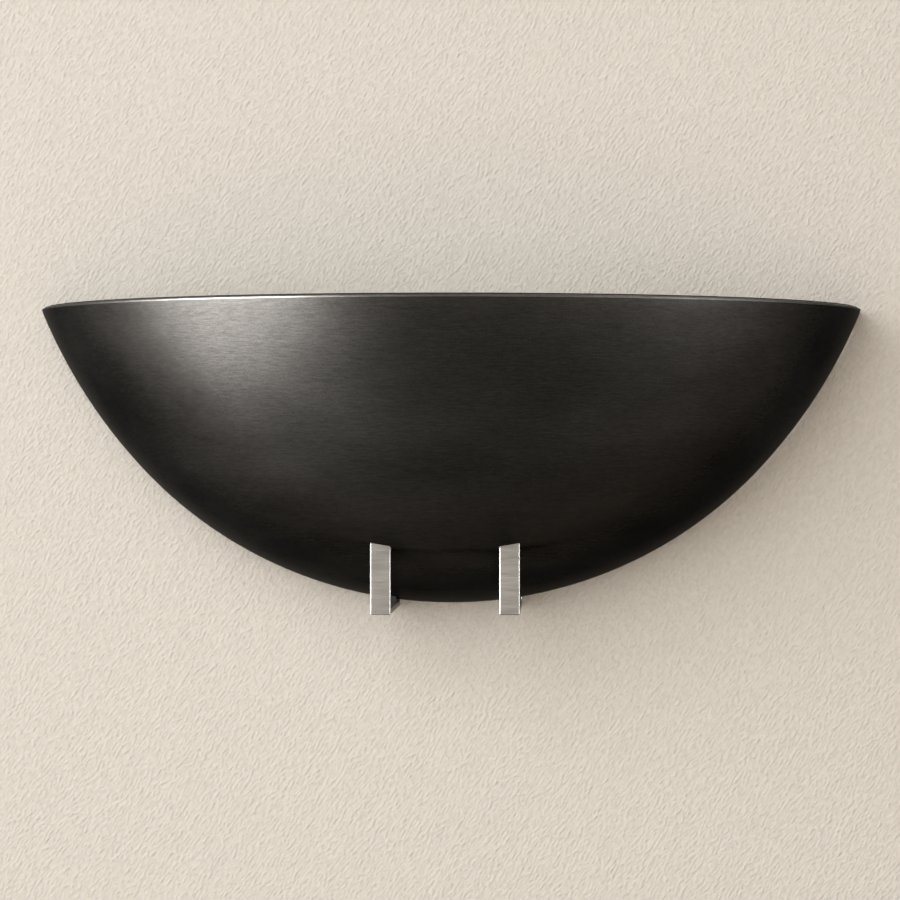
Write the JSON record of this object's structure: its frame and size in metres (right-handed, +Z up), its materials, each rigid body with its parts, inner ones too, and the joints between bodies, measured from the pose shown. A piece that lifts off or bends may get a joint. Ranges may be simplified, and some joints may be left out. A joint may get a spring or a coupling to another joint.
{
  "type": "uplighter wall sconce",
  "caption": "Half-bowl uplighter for a wall: a dark brushed bowl held by flat straps, with a linear lamp in a trough reflector under a hinged glass cover.",
  "frame": {"origin": "middle of the two wall-screw slots, on the wall face of the wall plate", "axes": "+X to the right along the rim as seen from the room, +Y into the wall, so the bowl stands out along -Y, +Z up"},
  "size_m": [0.4, 0.2, 0.1457],
  "materials": {
    "dark_brushed_aluminium": "brushed round the bowl, dark bronze anodised, satin",
    "black_paint": "satin black",
    "satin_nickel": "brushed nickel plate",
    "zinc_plated_steel": "zinc plated",
    "bright_aluminium": "peened bright reflector sheet",
    "white_ceramic": "glazed steatite",
    "contact_brass": "plain",
    "black_rubber": "matt",
    "clear_quartz": "clear",
    "safety_glass": "clear toughened",
    "tungsten": "drawn wire",
    "lead_brown": "silicone sleeve",
    "lead_blue": "silicone sleeve",
    "lead_green": "silicone sleeve"
  },
  "bodies": {
    "wall_bracket": {"wall_plate": "zinc_plated_steel", "hanging_studs": "zinc_plated_steel", "strap_left": "satin_nickel", "strap_right": "satin_nickel", "strap_rivets": "satin_nickel", "strap_pads": "black_rubber", "cable_grommet": "black_rubber", "cable_clamp": "zinc_plated_steel", "cable_clamp_screws": "zinc_plated_steel", "terminal_block": "white_ceramic", "terminal_screws": "contact_brass", "terminal_block_screw": "zinc_plated_steel", "earth_stud": "contact_brass", "earth_washer": "zinc_plated_steel", "earth_tag": "contact_brass", "earth_nut": "contact_brass", "lamp_carrier": "zinc_plated_steel", "carrier_screws": "zinc_plated_steel", "reflector": "bright_aluminium", "reflector_rivets": "bright_aluminium", "hinge_bracket": "zinc_plated_steel", "hinge_pins": "zinc_plated_steel", "lampholder_left": "white_ceramic", "lampholder_right": "white_ceramic", "lampholder_screws": "zinc_plated_steel", "lampholder_nuts": "zinc_plated_steel", "contact_left": "contact_brass", "contact_spring": "zinc_plated_steel", "lamp_tube": "clear_quartz", "lamp_caps": "white_ceramic", "lamp_filament": "tungsten", "live_lead": "lead_brown", "neutral_lead": "lead_blue", "earth_lead": "lead_green"},
    "bowl": {"bowl_shell": "dark_brushed_aluminium", "rim_band": "black_paint", "rear_bar": "black_paint"},
    "glass_cover": {"glass_frame": "zinc_plated_steel", "safety_glass": "safety_glass", "glass_seal": "black_rubber", "glass_clips": "zinc_plated_steel"},
    "nut_washer_left": {"washer_left": "zinc_plated_steel"},
    "nut_washer_right": {"washer_right": "zinc_plated_steel"},
    "nut_left": {"thumb_nut_left": "satin_nickel"},
    "nut_right": {"thumb_nut_right": "satin_nickel"},
    "contact_plunger": {"contact_right": "contact_brass"}
  },
  "joints": [
    {"name": "bowl_lift", "type": "slide", "parent": "wall_bracket", "child": "bowl", "axis": [0, 0, 1], "range_m": [0, 0.04]},
    {"name": "glass_cover_hinge", "type": "hinge", "parent": "wall_bracket", "child": "glass_cover", "pos_m": [0, -0.0125, 0.04525], "axis": [-1, 0, 0], "range_deg": [0, 92]},
    {"name": "washer_left_travel", "type": "slide", "parent": "wall_bracket", "child": "nut_washer_left", "axis": [0, -1, 0], "range_m": [0, 0.0016]},
    {"name": "thumb_nut_left_turn", "type": "hinge", "parent": "nut_washer_left", "child": "nut_left", "pos_m": [-0.1, -0.0095, 0.033], "axis": [0, -1, 0], "range_deg": [0, 720]},
    {"name": "washer_right_travel", "type": "slide", "parent": "wall_bracket", "child": "nut_washer_right", "axis": [0, -1, 0], "range_m": [0, 0.0016]},
    {"name": "thumb_nut_right_turn", "type": "hinge", "parent": "nut_washer_right", "child": "nut_right", "pos_m": [0.1, -0.0095, 0.033], "axis": [0, -1, 0], "range_deg": [0, 720]},
    {"name": "contact_push", "type": "slide", "parent": "wall_bracket", "child": "contact_plunger", "axis": [1, 0, 0], "range_m": [0, 0.003], "stiffness_N_per_m": 1500, "springref_m": -0.003, "deforming": ["contact_spring"]}
  ],
  "couplings": [
    {"joint": "washer_left_travel", "follows": "thumb_nut_left_turn", "m_per_rad": 0.00012732},
    {"joint": "washer_right_travel", "follows": "thumb_nut_right_turn", "m_per_rad": 0.00012732}
  ]
}
